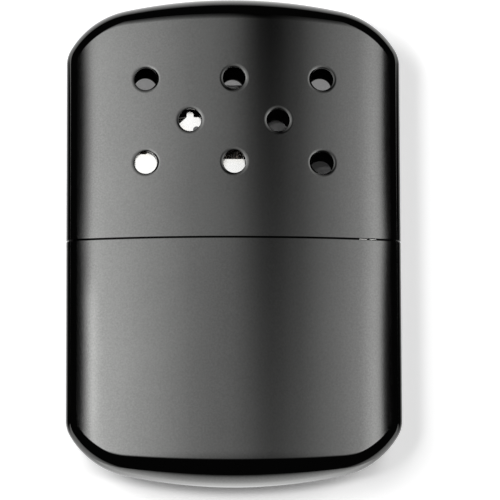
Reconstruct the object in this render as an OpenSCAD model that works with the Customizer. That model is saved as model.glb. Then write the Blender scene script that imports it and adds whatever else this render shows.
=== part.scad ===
// Catalytic hand warmer, lying on its back: X is its width, Y its length with the vented lid towards +Y,
// and Z its thickness with the front face up. The origin is on the surface it lies on, under its middle.
// Two pressed half shells meet at a seam across the middle. The lower one is the fuel tank, closed by a
// bright cover with a collar that the lid slides on. The burner sits on the filling neck inside the lid.

/* [Casing] */
// Width across the sides
body_w = 68; // [62:0.5:76]
// Length from end to end
body_l = 100; // [92:0.5:112]
// Thickness through the middle
body_t = 15; // [14:0.1:18]
// Radius of the rounded edge at the sides
edge_r = 3; // [2.6:0.1:3.4]
// Depth of the rounding at the middle of each domed end, where it's half an oval from face to face
end_depth = 5; // [3:0.1:7]
// Width of the straight band left between the front and back edge radii at the sides
side_flat = 0.4; // [0.2:0.1:1]
// Radius of the wide arc at the middle of each domed end
crown_r = 105; // [90:1:150]
// Radius of the arc at each shoulder of the domed ends
shoulder_r = 17; // [14:0.5:20]
// Slope of the outline where a shoulder passes into a corner, in degrees
shoulder_slope = 60; // [50:1:65]
// Radius of the soft corner between a shoulder and the side
corner_r = 6; // [4.5:0.1:8]
// Thickness of the pressed sheet
wall = 0.6; // [0.4:0.05:0.8]

/* [Seam] */
// Distance of the seam from the middle of the length
seam_y = 0; // [-6:0.5:4]
// Open gap between the two half shells
seam_gap = 0.3; // [0.2:0.05:0.5]

/* [Vents] */
// Diameter of a vent
vent_d = 4.8; // [3:0.1:5.4]
// Distance between the vents of a row
vent_pitch_x = 17.9; // [14:0.1:18.5]
// Distance between the rows
vent_pitch_y = 8.6; // [6.5:0.1:9]
// Height of the lowest row above the seam
vent_start = 15.4; // [13:0.1:18]

/* [Tank cover] */
// Height of the collar above the seam
collar_h = 5; // [4:0.1:6.5]
// Depth of the collar in the tank
collar_depth = 5; // [3:0.1:8]
// Thickness of the cover's sheet
cover_wall = 0.5; // [0.3:0.05:0.7]
// Clearance between the collar and the lid
lid_gap = 0.3; // [0.2:0.05:0.4]

/* [Filling neck] */
// Height of the neck above the cover
neck_h = 7; // [6:0.1:7.5]
// Thickness of the neck's sheet
neck_wall = 0.4; // [0.3:0.05:0.6]
// Width of the flange round the neck
flange_w = 0.8; // [0.5:0.1:1]
// Thickness of the flange
flange_t = 0.4; // [0.3:0.1:0.6]
// Thickness of the felt under the cover
felt_t = 3; // [2:0.1:4]
// Thickness of the screen in the mouth
screen_t = 0.4; // [0.3:0.1:0.6]
// Diameter of the holes in the screen and in the diffuser plate
screen_hole_d = 1.6; // [1:0.1:2]
// Distance between those holes
screen_pitch = 2.5; // [2.2:0.1:3]

/* [Burner] */
// Distance of the burner from the middle of the width, to the left
burner_shift = 8.9; // [6:0.1:9]
// Width of the burner housing
housing_w = 25; // [22:0.1:26]
// Depth of the burner housing, front to back
housing_t = 9.2; // [8:0.1:9.2]
// Radius of the housing's upright corners
housing_r = 1.4; // [1.4:0.1:2.4]
// Thickness of the housing's sheet
housing_wall = 0.4; // [0.3:0.05:0.5]
// Height of the housing's sides
housing_h = 10.75; // [10:0.05:12]
// Height of the housing, lugs included
burner_h = 20.5; // [19:0.1:22]
// Width of the lug at the top of each plate
lug_w = 1.4; // [1:0.1:2]
// Height of the lug above the level shoulder on its right
lug_h = 1.15; // [0.8:0.05:1.5]
// Reach of the level shoulder, from the burner's middle
shoulder_reach = 3.4; // [2:0.1:4.5]
// Reach of the foot of the steep drop beside it
drop_reach = 6.2; // [5:0.1:8]
// Reach of the head of the long slope on the left
slope_head_reach = 2.2; // [1.2:0.1:4]
// Depth of that head below the lug's top
slope_head_depth = 2.5; // [2:0.1:4]
// Reach of the foot of the long slope
slope_foot_reach = 9; // [7:0.1:9.2]
// Height of that foot above the housing's sides
slope_foot_rise = 0.95; // [0.5:0.05:1.5]
// Clearance between the housing and the flange it sits on
seat_gap = 0.2; // [0.1:0.05:0.3]
// Clearance between the neck and the housing, front and back
slip_gap = 0.35; // [0.3:0.05:0.5]
// Room for a grip spring at each end of the neck
spring_room = 0.8; // [0.7:0.1:1]
// Thickness of a grip spring
spring_t = 0.2; // [0.15:0.05:0.25]
// Height of a grip spring's bow
spring_bow = 0.25; // [0.15:0.05:0.3]
// Width of a grip spring
spring_w = 3.4; // [2:0.1:4]
// Height of a grip spring's foot above the housing's lower edge
spring_lift = 0.6; // [0.4:0.1:1]
// Distance of its upper end below the neck's mouth
spring_drop = 0.2; // [0.1:0.1:1]

/* [Catalyst] */
// Height of the diffuser plate above the neck's mouth
diffuser_lift = 1.6; // [1:0.1:2]
// Thickness of the diffuser plate
diffuser_t = 0.4; // [0.3:0.1:0.6]
// Distance of the mat and its gauze from the housing's round corners
mat_gap = 0.1; // [0.1:0.1:1]
// Height of the mat's straight foot, below its arch
mat_foot_h = 2; // [1:0.5:3]
// Thickness of the wire gauze
mesh_t = 0.4; // [0.3:0.05:0.5]
// Distance between the wires of the gauze
mesh_pitch = 1.3; // [1.1:0.1:2]
// Width of a gauze wire
mesh_wire = 0.35; // [0.25:0.05:0.5]
// Diameter of a retainer wire
wire_d = 0.5; // [0.4:0.05:0.7]
// Number of retainer wires along the mat's curved edge
wire_count = 7; // [5:2:9]
// Diameter of a rivet's head
rivet_head_d = 1.4; // [1.2:0.1:1.8]
// Diameter of a rivet's shank
rivet_d = 0.8; // [0.5:0.1:1]
// Height of a rivet's head
rivet_head_h = 0.25; // [0.15:0.05:0.3]
// Length of the shank inside the mat
rivet_bite = 0.5; // [0.3:0.1:1]
// Reach of the upper rivet, to the right of the burner's middle
upper_rivet_reach = 1.3; // [0.9:0.1:2]
// Depth of the upper rivet below the lug's foot
upper_rivet_depth = 2.6; // [2:0.1:4]
// Reach of the lower rivet, to the left of the burner's middle
lower_rivet_reach = 1.6; // [0.9:0.1:2.5]
// Depth of the lower rivet below the lug's foot
lower_rivet_depth = 4.4; // [4:0.1:6]

/* [Hidden] */

// A cut runs past the face it opens by this much
past = 1;
// Sides of a round hole or pin
$fn = 48;
// Steps of the edge radius, of a corner, of a shoulder and of the crown, in the casing's mesh
edge_steps = 8;
corner_steps = 6;
shoulder_steps = 8;
crown_steps = 12;
// Steps of the face arc in the section of the pieces that fit in the casing
face_steps = 24;
// Steps of the mat's arch and of a grip spring's bow
arch_steps = 20;
bow_steps = 12;

// ---- Casing: faces are arcs across the width, blended into the sides and rounded off at the ends ----

// The centre of the edge radius at the sides lies this far from the middle planes
side_x = body_w / 2 - edge_r;
side_z = side_flat / 2;
// The face arc touches the edge radius at the sides
face_rise = body_t / 2 - side_z;
face_r = (pow(side_x, 2) + pow(face_rise, 2) - pow(edge_r, 2)) / (2 * (face_rise - edge_r));
face_axis_z = face_r - body_t / 2;
// Slope of the face where the edge radius begins, and the distance from there to the side
side_slope = atan2(side_x, side_z + face_axis_z);
side_depth = edge_r * (1 - sin(side_slope));
// Slope of the outline where the crown passes into a shoulder
crown_slope = asin((body_w / 2 - corner_r - (shoulder_r - corner_r) * sin(shoulder_slope))
    / (crown_r - shoulder_r));

// Height of the front or back face above the middle plane, at x, for a surface that lies inset inside
function face_z(x, inset = 0) = sqrt(pow(face_r - inset, 2) - pow(x, 2)) - face_axis_z;

// Arc of the outline that the outward direction at slope a belongs to: its radius and its centre
function arc_radius(a) = abs(a) > shoulder_slope ? corner_r : abs(a) > crown_slope ? shoulder_r : crown_r;
crown_center = [0, body_l / 2 - crown_r];
shoulder_center = crown_center + (crown_r - shoulder_r) * [sin(crown_slope), cos(crown_slope)];
corner_center = shoulder_center + (shoulder_r - corner_r) * [sin(shoulder_slope), cos(shoulder_slope)];
function arc_center(a) = let (c = abs(a) > shoulder_slope ? corner_center
    : abs(a) > crown_slope ? shoulder_center : crown_center) [sign(a) * c.x, c.y];

// Values from a to b in n steps, without b
function steps(a, b, n) = [for (i = [0:n - 1]) a + (b - a) * i / n];
// Directions round one end, from the right side to the left
function end_slopes(f) = concat(
    steps(90, shoulder_slope, corner_steps / f), steps(shoulder_slope, crown_slope, shoulder_steps / f),
    steps(crown_slope, -crown_slope, crown_steps / f),
    steps(-crown_slope, -shoulder_slope, shoulder_steps / f),
    steps(-shoulder_slope, -90, corner_steps / f), [-90]);

// Distance from the outline to the start of its rounding, where the outline faces slope a
function edge_depth(a) = side_depth + (end_depth - side_depth) * pow(cos(a), 2);
function side_dir(a) = [sin(a), cos(a), 0];
function face_dir(x) = [x, 0, sqrt(pow(face_r, 2) - pow(x, 2))] / face_r;
function flip(p) = [p.x, p.y, -p.z];
// Point at t on the rounding from p to q, whose tangents meet at c. It is an arc of a circle or of an oval
function round_point(p, c, q, t) = let (u = c - p, v = q - c,
    w = 2 * t * (1 - t) * cos(acos(u * v / (norm(u) * norm(v))) / 2))
    (pow(1 - t, 2) * p + w * c + pow(t, 2) * q) / (pow(1 - t, 2) + w + pow(t, 2));

// Points of the edge where the outline faces slope a, from the back face round the side to the front
function edge_column(a, inset, n) = let (
    p = arc_center(a) + arc_radius(a) * [sin(a), cos(a)], q = p - edge_depth(a) * [sin(a), cos(a)],
    side = [p.x, p.y, side_z] - inset * side_dir(a),
    face = [q.x, q.y, face_z(q.x)] - inset * face_dir(q.x),
    c = [side.x, side.y, face.z - (side.x - face.x) * face_dir(q.x).x / face_dir(q.x).z],
    front = [for (k = [0:n]) round_point(side, c, face, k / n)])
    concat([for (k = [n:-1:0]) flip(front[k])], front);

// One half of the casing's form as a solid, from the plane y = cut_y to its domed end. f is how coarse
module half_form(inset, cut_y, f = 1) {
    n = edge_steps / f;
    slopes = end_slopes(f);
    domed = [for (a = slopes) edge_column(a, inset, n)];
    first = [for (p = domed[0]) [p.x, cut_y, p.z]];
    last = [for (p = domed[len(domed) - 1]) [p.x, cut_y, p.z]];
    columns = concat([first], domed, [last]);
    rows = len(first);
    top = rows - 1;
    count = len(columns);
    // Face points on the cut, one for each column between the sides
    inner = [for (j = [2:count - 3]) j];
    front_cut = [for (j = inner) [columns[j][top].x, cut_y, columns[j][top].z]];
    back_cut = [for (p = front_cut) flip(p)];
    points = concat([for (c = columns) each c], front_cut, back_cut);
    front_0 = count * rows;
    back_0 = front_0 + len(inner);
    function front_seam(j) = j < 2 ? top : j > count - 3 ? (count - 1) * rows + top : front_0 + j - 2;
    function back_seam(j) = j < 2 ? 0 : j > count - 3 ? (count - 1) * rows : back_0 + j - 2;
    edge_faces = [for (j = [0:count - 2], k = [0:top - 1])
        let (a = j * rows + k, b = a + rows) each [[a, a + 1, b + 1], [a, b + 1, b]]];
    front_faces = [for (j = [1:count - 3])
        let (a = j * rows + top, q = [a, front_seam(j), front_seam(j + 1), a + rows])
            each [[q[0], q[1], q[2]], [q[0], q[2], q[3]]]];
    back_faces = [for (j = [1:count - 3])
        let (a = j * rows, q = [a, a + rows, back_seam(j + 1), back_seam(j)])
            each [[q[0], q[1], q[2]], [q[0], q[2], q[3]]]];
    cut_face = concat([for (k = [top:-1:0]) k], [for (j = inner) back_seam(j)],
        [for (k = [0:top]) (count - 1) * rows + k], [for (j = [count - 3:-1:2]) front_seam(j)]);
    // Next to the sides two corners of a face quad meet, and the triangle between them falls away
    triangles = [for (t = concat(edge_faces, front_faces, back_faces))
        if (t[0] != t[1] && t[1] != t[2] && t[0] != t[2]) t];
    polyhedron(points, concat(triangles, [cut_face]));
}

// Section of the casing's form across the width, in x and z, inset inside
function quarter_section(inset) = let (c = [side_x, 0, side_z], r = edge_r - inset,
    last_x = side_x + r * sin(side_slope)) concat(
    [for (k = [0:edge_steps]) let (t = (90 - side_slope) * k / edge_steps)
        [c.x + r * cos(t), c.z + r * sin(t)]],
    [for (k = [1:face_steps]) let (x = last_x * (1 - k / face_steps)) [x, face_z(x, inset)]]);
module section(inset) {
    q = quarter_section(inset);
    n = len(q);
    half = concat(q, [for (k = [n - 2:-1:0]) [-q[k].x, q[k].y]]);
    polygon(concat(half, [for (k = [len(half) - 1:-1:0]) [half[k].x, -half[k].y]]));
}

// A 2D shape in x and z, drawn upright from y = from to y = to
module along_y(from, to) {
    translate([0, to, 0]) rotate([90, 0, 0]) linear_extrude(to - from) children();
}
// A 2D shape in x and y, drawn from height z
module sheet(z, t) {
    translate([0, 0, z]) linear_extrude(t) children();
}
// Raises what is drawn round the middle plane onto the surface the warmer lies on
module lying() {
    translate([0, 0, body_t / 2]) children();
}

// ---- Heights along Y, from the seam upwards ----
lid_y = seam_y + seam_gap / 2;
tank_y = seam_y - seam_gap / 2;
collar_foot_y = seam_y - collar_depth;
deck_y = seam_y + collar_h;
deck_under_y = deck_y - cover_wall;
felt_y = deck_under_y - felt_t;
flange_y = deck_y + flange_t;
mouth_y = deck_y + neck_h;
housing_y = flange_y + seat_gap;
housing_top_y = housing_y + housing_h;
burner_top_y = housing_y + burner_h;
diffuser_y = mouth_y + diffuser_lift;
mat_y = diffuser_y + diffuser_t;
mat_top_y = burner_top_y - housing_wall - wire_d;

// Insets of the pieces that nest in the casing
collar_out = wall + lid_gap;
collar_in = collar_out + cover_wall;
// What is packed in the tank keeps this clear of its walls, and the seal keeps a hair of it
packing_gap = 0.15;
seal_gap = 0.02;

// The neck leaves the slip gap and the spring room inside the housing
inside_w = housing_w - 2 * housing_wall;
inside_t = housing_t - 2 * housing_wall;
neck_w = inside_w - 2 * spring_room;
neck_t = inside_t - 2 * slip_gap;
neck_r = housing_r - housing_wall - slip_gap;
mat_w = housing_w - 2 * housing_r - 2 * mat_gap;
mat_t = inside_t - 2 * mesh_t;

// A rectangle with round corners, w wide and t deep
module rounded(w, t, r) {
    union() {
        square([w - 2 * r, t], center = true);
        square([w, t - 2 * r], center = true);
        for (x = [-1, 1], y = [-1, 1]) translate([x * (w / 2 - r), y * (t / 2 - r)]) circle(r);
    }
}
module at_burner() {
    translate([-burner_shift, 0, 0]) children();
}

// ---- Tank half ----
module base_shell() color("dimgray") lying() difference() {
    mirror([0, 1, 0]) half_form(0, -tank_y);
    mirror([0, 1, 0]) half_form(wall, -tank_y - past);
}

module tank_cover() color("silver") lying() difference() {
    along_y(collar_foot_y, deck_y) section(collar_out);
    along_y(collar_foot_y - past, deck_under_y) section(collar_in);
    at_burner() along_y(deck_under_y - past, deck_y + past) rounded(neck_w, neck_t, neck_r);
}

module cover_seal() color("gray") lying() along_y(collar_foot_y, tank_y) difference() {
    section(wall + seal_gap);
    section(collar_out);
}

module filler_neck() color("silver") lying() at_burner() difference() {
    union() {
        along_y(deck_under_y, mouth_y) rounded(neck_w, neck_t, neck_r);
        along_y(deck_y, flange_y)
            rounded(neck_w + 2 * flange_w, neck_t + 2 * flange_w, neck_r + flange_w);
    }
    along_y(deck_under_y - past, mouth_y + past)
        rounded(neck_w - 2 * neck_wall, neck_t - 2 * neck_wall, neck_r - neck_wall);
}

// Holes in rows and columns over a plate w wide and t deep, which leave a rim half a hole wide or more
module hole_grid(w, t) {
    cols = floor((w - 2 * screen_hole_d) / screen_pitch);
    rows = floor((t - 2 * screen_hole_d) / screen_pitch);
    for (i = [0:cols], j = [0:rows])
        translate([(i - cols / 2) * screen_pitch, (j - rows / 2) * screen_pitch]) circle(d = screen_hole_d);
}

module neck_screen() color("gainsboro") lying() at_burner()
    along_y(mouth_y - 2 * screen_t, mouth_y - screen_t) difference() {
        rounded(neck_w - 2 * neck_wall, neck_t - 2 * neck_wall, neck_r - neck_wall);
        hole_grid(neck_w - 2 * neck_wall, neck_t - 2 * neck_wall);
    }

module wick_plug() color("ivory") lying() at_burner() along_y(felt_y, mouth_y - 2 * screen_t)
    rounded(neck_w - 2 * neck_wall - 2 * packing_gap, neck_t - 2 * neck_wall - 2 * packing_gap,
        neck_r - neck_wall - packing_gap);

module felt_pad() color("whitesmoke") lying() difference() {
    along_y(felt_y, deck_under_y) section(collar_in + packing_gap);
    at_burner() along_y(felt_y - past, deck_under_y + past)
        rounded(neck_w - 2 * neck_wall, neck_t - 2 * neck_wall, neck_r - neck_wall);
}

module wadding_upper() color("white") lying()
    along_y(collar_foot_y, felt_y) section(collar_in + packing_gap);

// The tank's wadding is laid in two batts, side 1 in front and side -1 behind
module wadding(side) {
    lying() intersection() {
        mirror([0, 1, 0]) half_form(wall + packing_gap, -collar_foot_y, 2);
        translate([-body_w, -body_l, side > 0 ? 0 : -body_t]) cube([2 * body_w, 2 * body_l, body_t]);
    }
}
module wadding_front() color("white") wadding(1);
module wadding_rear() color("snow") wadding(-1);

// ---- Burner ----

// Outline of the housing's front and back plates above its sides, from the lug at the middle: the left
// side climbs in a long slope and the right side drops steeply from a level shoulder
plate_x = housing_w / 2 - housing_r;
lug_y = burner_top_y - lug_w / 2;
lug_foot_y = burner_top_y - lug_h;
module plate_outline() {
    polygon([
        [-plate_x, housing_y], [-plate_x, housing_top_y + slope_foot_rise],
        [-slope_foot_reach, housing_top_y + slope_foot_rise],
        [-slope_head_reach, burner_top_y - slope_head_depth], [-lug_w / 2, lug_foot_y],
        [-lug_w / 2, lug_y], [lug_w / 2, lug_y], [lug_w / 2, lug_foot_y], [shoulder_reach, lug_foot_y],
        [drop_reach, housing_top_y], [plate_x, housing_top_y], [plate_x, housing_y]]);
    translate([0, lug_y]) circle(d = lug_w);
}

// Places of the rivets on a plate, one under the level shoulder and one under the long slope
rivet_spots = [[upper_rivet_reach, lug_foot_y - upper_rivet_depth],
    [-lower_rivet_reach, lug_foot_y - lower_rivet_depth]];
module at_rivets() {
    for (p = rivet_spots) translate(p) children();
}

module burner_housing() color("gainsboro") lying() at_burner() difference() {
    union() {
        along_y(housing_y, housing_top_y) rounded(housing_w, housing_t, housing_r);
        for (z = [-housing_t / 2, housing_t / 2 - housing_wall]) sheet(z, housing_wall) plate_outline();
    }
    along_y(housing_y - past, housing_top_y + past)
        rounded(inside_w, inside_t, housing_r - housing_wall);
    sheet(-housing_t, 2 * housing_t) at_rivets() circle(d = rivet_d);
}

module diffuser_plate() color("gray") lying() at_burner()
    along_y(diffuser_y, mat_y) difference() {
        rounded(inside_w, inside_t, housing_r - housing_wall);
        hole_grid(inside_w, inside_t);
    }

// Arched outline of the mat: an ellipse's upper half on a straight foot, margin smaller all round
function arch_point(a, margin) =
    [(mat_w / 2 - margin) * cos(a), mat_y + mat_foot_h + (mat_top_y - mat_y - mat_foot_h - margin) * sin(a)];
module mat_outline(margin = 0) {
    polygon(concat([[-mat_w / 2 + margin, mat_y], [mat_w / 2 - margin, mat_y]],
        [for (k = [0:arch_steps]) arch_point(180 * k / arch_steps, margin)]));
}

module catalyst_mat() color("rosybrown") lying() at_burner()
    sheet(-mat_t / 2, mat_t) difference() {
        mat_outline(wire_d);
        at_rivets() circle(d = rivet_d);
    }

// Wire gauze in the mat's outline, with a rim one wire wide
module gauze() {
    cols = floor(mat_w / (2 * mesh_pitch));
    rows = floor((mat_top_y - mat_y) / mesh_pitch);
    difference() {
        mat_outline();
        difference() {
            mat_outline(mesh_wire);
            for (i = [-cols:cols]) translate([i * mesh_pitch - mesh_wire / 2, mat_y])
                square([mesh_wire, mat_top_y - mat_y]);
            for (j = [0:rows]) translate([-mat_w / 2, mat_y + j * mesh_pitch])
                square([mat_w, mesh_wire]);
            at_rivets() circle(d = rivet_head_d);
        }
        at_rivets() circle(d = rivet_d);
    }
}
module mesh_front() color("lightgray") lying() at_burner() sheet(mat_t / 2, mesh_t) gauze();
module mesh_rear() color("lightgray") lying() at_burner() sheet(-mat_t / 2 - mesh_t, mesh_t) gauze();

// Wires across the mat's curved edge, between the two gauzes
module retainer_wires() color("silver") lying() at_burner() sheet(-mat_t / 2, mat_t)
    for (k = [1:wire_count]) translate(arch_point(180 * k / (wire_count + 1), wire_d / 2))
        circle(d = wire_d);

module burner_strap() color("gainsboro") lying() at_burner()
    translate([-lug_w / 2, burner_top_y - 2 * housing_wall, -inside_t / 2])
        cube([lug_w, housing_wall, inside_t]);

module housing_rivets() color("darkgray") lying() at_burner()
    for (side = [-1, 1]) at_rivets() mirror([0, 0, side > 0 ? 0 : 1]) {
        translate([0, 0, housing_t / 2]) cylinder(h = rivet_head_h, d = rivet_head_d);
        translate([0, 0, mat_t / 2 - rivet_bite])
            cylinder(h = housing_t / 2 - mat_t / 2 + rivet_bite, d = rivet_d);
    }

// A leaf spring: two feet on the housing's end wall and a bow towards the neck, side -1 left or 1 right
module grip_spring(side) {
    low = housing_y + spring_lift;
    high = mouth_y - spring_drop;
    bow = [for (k = [0:bow_steps])
        [inside_w / 2 - spring_bow * sin(180 * k / bow_steps), low + (high - low) * k / bow_steps]];
    inner = [for (k = [bow_steps:-1:0]) bow[k] - [spring_t, 0]];
    lying() at_burner() mirror([side > 0 ? 0 : 1, 0, 0]) sheet(-spring_w / 2, spring_w)
        polygon(concat(bow, inner));
}
module grip_spring_left() color("silver") grip_spring(-1);
module grip_spring_right() color("silver") grip_spring(1);

// ---- Lid ----
module vents() {
    for (row = [0:2], i = row == 1 ? [-0.5, 0.5] : [-1, 0, 1])
        translate([i * vent_pitch_x, seam_y + vent_start + row * vent_pitch_y, -body_t])
            cylinder(h = 2 * body_t, d = vent_d);
}

module lid_shell() color("dimgray") lying() difference() {
    half_form(0, lid_y);
    half_form(wall, lid_y - past);
    vents();
}

base_shell();
tank_cover();
cover_seal();
filler_neck();
neck_screen();
wick_plug();
felt_pad();
wadding_upper();
wadding_front();
wadding_rear();
burner_housing();
diffuser_plate();
catalyst_mat();
mesh_front();
mesh_rear();
retainer_wires();
burner_strap();
housing_rivets();
grip_spring_left();
grip_spring_right();
lid_shell();
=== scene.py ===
import math
import bmesh
import bpy
from mathutils import Matrix, Vector, geometry, noise


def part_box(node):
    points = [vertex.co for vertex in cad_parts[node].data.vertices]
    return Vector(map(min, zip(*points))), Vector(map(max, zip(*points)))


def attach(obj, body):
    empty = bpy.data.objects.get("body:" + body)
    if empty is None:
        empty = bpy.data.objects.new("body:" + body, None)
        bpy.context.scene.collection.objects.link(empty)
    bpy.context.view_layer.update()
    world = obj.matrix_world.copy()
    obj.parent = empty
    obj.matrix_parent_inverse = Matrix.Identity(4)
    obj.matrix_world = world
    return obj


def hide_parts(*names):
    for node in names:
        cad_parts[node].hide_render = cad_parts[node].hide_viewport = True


# A catalytic hand warmer on its back: X is its width, Y its length with the vented lid towards +Y, and Z
# its thickness. Sizes are in millimetres and degrees; meshes are scaled to metres as they are made.
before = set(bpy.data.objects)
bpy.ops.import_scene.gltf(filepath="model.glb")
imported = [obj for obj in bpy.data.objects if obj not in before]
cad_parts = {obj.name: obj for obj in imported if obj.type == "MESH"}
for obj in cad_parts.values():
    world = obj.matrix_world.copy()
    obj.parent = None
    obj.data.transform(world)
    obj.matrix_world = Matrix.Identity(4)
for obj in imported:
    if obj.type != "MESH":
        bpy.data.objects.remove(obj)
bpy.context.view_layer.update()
MM = 0.001
ALONG = Vector((0, 1, 0))


def corners(node):
    """Lowest and highest corner of a node of the frame, in millimetres."""
    low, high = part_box(node)
    return low / MM, high / MM


# ---- Casing: the same arcs as in the frame ----
_, CASING_HIGH = corners("lid_shell")
HALF_W = CASING_HIGH.x
HALF_L = CASING_HIGH.y
HALF_T = CASING_HIGH.z / 2
# Rounding of the straight sides, and width of the rounding in the middle of an end
EDGE_R = 3.0
END_DEPTH = 5.15
# Power by which an end's rounding gets narrower towards the sides
END_FALLOFF = 1.05
SIDE_FLAT = 0.4
CROWN_R = 105.0
SHOULDER_R = 17.0
SHOULDER_SLOPE = math.radians(60)
CORNER_R = 6.0
WALL = 0.6
# Each half's edge lies this far from the middle of the seam, and is rounded outside and inside
SEAM_HALF = 0.11
LIP_R = 0.12
LIP_INNER_R = 0.1
# Share of its thickness that each half loses at the seam and at its far end, where it's pressed flatter
CROWN_DIP = 0.016
# Beyond this distance from the seam the tank's face rolls down a little more: share of its thickness lost
# for each square millimetre
ROLL_Y = 42.6
ROLL_DIP = 0.0022

SIDE_X = HALF_W - EDGE_R
SIDE_Z = SIDE_FLAT / 2
FACE_RISE = HALF_T - SIDE_Z
FACE_R = (SIDE_X ** 2 + FACE_RISE ** 2 - EDGE_R ** 2) / (2 * (FACE_RISE - EDGE_R))
FACE_AXIS_Z = FACE_R - HALF_T
SIDE_DEPTH = EDGE_R * (1 - math.sin(math.atan2(SIDE_X, SIDE_Z + FACE_AXIS_Z)))
SHOULDER_SPAN = SHOULDER_R - CORNER_R
SHOULDER_X = HALF_W - CORNER_R - SHOULDER_SPAN * math.sin(SHOULDER_SLOPE)
CROWN_SLOPE = math.asin(SHOULDER_X / (CROWN_R - SHOULDER_R))


def heading(slope):
    """Unit vector from +Y towards +X by slope."""
    return Vector((math.sin(slope), math.cos(slope)))


CROWN_CENTRE = Vector((0, HALF_L - CROWN_R))
SHOULDER_CENTRE = CROWN_CENTRE + (CROWN_R - SHOULDER_R) * heading(CROWN_SLOPE)
CORNER_CENTRE = SHOULDER_CENTRE + SHOULDER_SPAN * heading(SHOULDER_SLOPE)

# ---- Vents ----
THROAT_R = 2.3
VENT_PITCH_X = 17.9
VENT_PITCH_Y = 8.6
VENT_START = 15.4
# A vent's rim sinks over this width and depth outside, to a crisp edge, and has a small rounding inside
RIM_W = 0.75
RIM_DEPTH = 0.105
RIM_EDGE_R = 0.04
RIM_INNER_R = 0.12
VENTS = [(i * VENT_PITCH_X, VENT_START + row * VENT_PITCH_Y)
         for row, places in enumerate(((-1, 0, 1), (-0.5, 0.5), (-1, 0, 1))) for i in places]

# ---- Steps of the meshes ----
EDGE_STEPS = 22
CORNER_STEPS = 12
SHOULDER_STEPS = 24
CROWN_STEPS = 40
SIDE_STEP = 3.0
SECTION_STEPS = 44
RING_STEPS = 72
ROUND_STEPS = 7
RIM_STEPS = 12
EDGE_RINGS = 4
NET_SPACING = 1.6
# Points inside a face keep these shares of their spacing away from its outline and from its vents
OUTLINE_MARGIN = 0.45
HOLE_MARGIN = 0.5
# A filled triangle lies in a vent if its middle is within this share of the vent's reach
HOLE_SHARE = 0.99
# Small change that slopes are measured over, room for rounding errors, and distance at which points are one
STEP_TINY = 1e-4
ROUND_OFF = 1e-9
MERGE_REACH = 1e-7


def face_height(x, inset=0.0):
    """Height of the front face over the middle plane at x, on the surface that lies inset inside."""
    return math.sqrt((FACE_R - inset) ** 2 - x * x) - FACE_AXIS_Z


def face_normal(x):
    """Outward direction of the front face at x."""
    return Vector((x / FACE_R, 0, math.sqrt(1 - (x / FACE_R) ** 2)))


def outline_arc(slope):
    """Centre and radius of the outline's arc that faces slope, from +Y towards +X, in radians."""
    turn = abs(slope)
    if turn > SHOULDER_SLOPE + ROUND_OFF:
        centre, radius = CORNER_CENTRE, CORNER_R
    elif turn > CROWN_SLOPE + ROUND_OFF:
        centre, radius = SHOULDER_CENTRE, SHOULDER_R
    else:
        centre, radius = CROWN_CENTRE, CROWN_R
    return Vector((math.copysign(centre.x, slope), centre.y, 0)), radius


def edge_depth(slope):
    """Distance from the outline to the start of its rounding."""
    centre, radius = outline_arc(slope)
    away = abs(centre.x + radius * math.sin(slope)) / HALF_W
    return SIDE_DEPTH + (END_DEPTH - SIDE_DEPTH) * max(0.0, 1 - away * away) ** END_FALLOFF


def edge_point(slope, inset, t):
    """Point at t on the rounding where the outline faces slope: 0 is at the side and 1 on the front face."""
    centre, radius = outline_arc(slope)
    out = Vector((math.sin(slope), math.cos(slope), 0))
    rim = centre + radius * out
    foot = rim - edge_depth(slope) * out
    lean = face_normal(foot.x)
    side = Vector((rim.x, rim.y, SIDE_Z)) - inset * out
    face = Vector((foot.x, foot.y, face_height(foot.x))) - inset * lean
    tip = Vector((side.x, side.y, face.z - (side.x - face.x) * lean.x / lean.z))
    weight = 2 * t * (1 - t) * math.cos((tip - side).angle(face - tip) / 2)
    return ((1 - t) ** 2 * side + weight * tip + t ** 2 * face) / ((1 - t) ** 2 + weight + t ** 2)


def spread(start, stop, count):
    """count values from start towards stop, without stop."""
    return [start + (stop - start) * i / count for i in range(count)]


def end_slopes():
    """Directions round one domed end, from the right side to the left."""
    quarter = math.pi / 2
    return (spread(quarter, SHOULDER_SLOPE, CORNER_STEPS)
            + spread(SHOULDER_SLOPE, CROWN_SLOPE, SHOULDER_STEPS)
            + spread(CROWN_SLOPE, -CROWN_SLOPE, CROWN_STEPS)
            + spread(-CROWN_SLOPE, -SHOULDER_SLOPE, SHOULDER_STEPS)
            + spread(-SHOULDER_SLOPE, -quarter, CORNER_STEPS) + [-quarter])


def edge_column(slope, inset, at_y=None):
    """Points and normals of the edge where the outline faces slope, from the front face round the side to the
    back, moved to at_y along a straight side."""
    front = []
    for k in range(EDGE_STEPS + 1):
        t = 1 - k / EDGE_STEPS
        point = edge_point(slope, inset, t)
        up = edge_point(slope, inset, t + STEP_TINY) - edge_point(slope, inset, t - STEP_TINY)
        along = edge_point(slope + STEP_TINY, inset, t) - edge_point(slope - STEP_TINY, inset, t)
        if at_y is not None:
            point.y = at_y
            along = ALONG
        normal = up.cross(along).normalized()
        if normal.dot(Vector((math.sin(slope), math.cos(slope), 1))) < 0:
            normal.negate()
        front.append((point, normal))
    return front + [(Vector((p.x, p.y, -p.z)), Vector((n.x, n.y, -n.z))) for p, n in reversed(front)]


def section_loop(inset, y):
    """Points and normals round the casing's cross section at y: right edge, back, left edge and front."""
    right = edge_column(math.pi / 2, inset, y)
    left = [(Vector((-p.x, y, p.z)), Vector((-n.x, 0, n.z))) for p, n in reversed(right)]
    last_x = right[0][0].x
    front = []
    for k in range(1, SECTION_STEPS):
        x = last_x * (2 * k / SECTION_STEPS - 1)
        front.append((Vector((x, y, face_height(x, inset))), face_normal(x)))
    back = [(Vector((p.x, y, -p.z)), Vector((n.x, 0, -n.z))) for p, n in reversed(front)]
    return right + back + left + front


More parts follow.
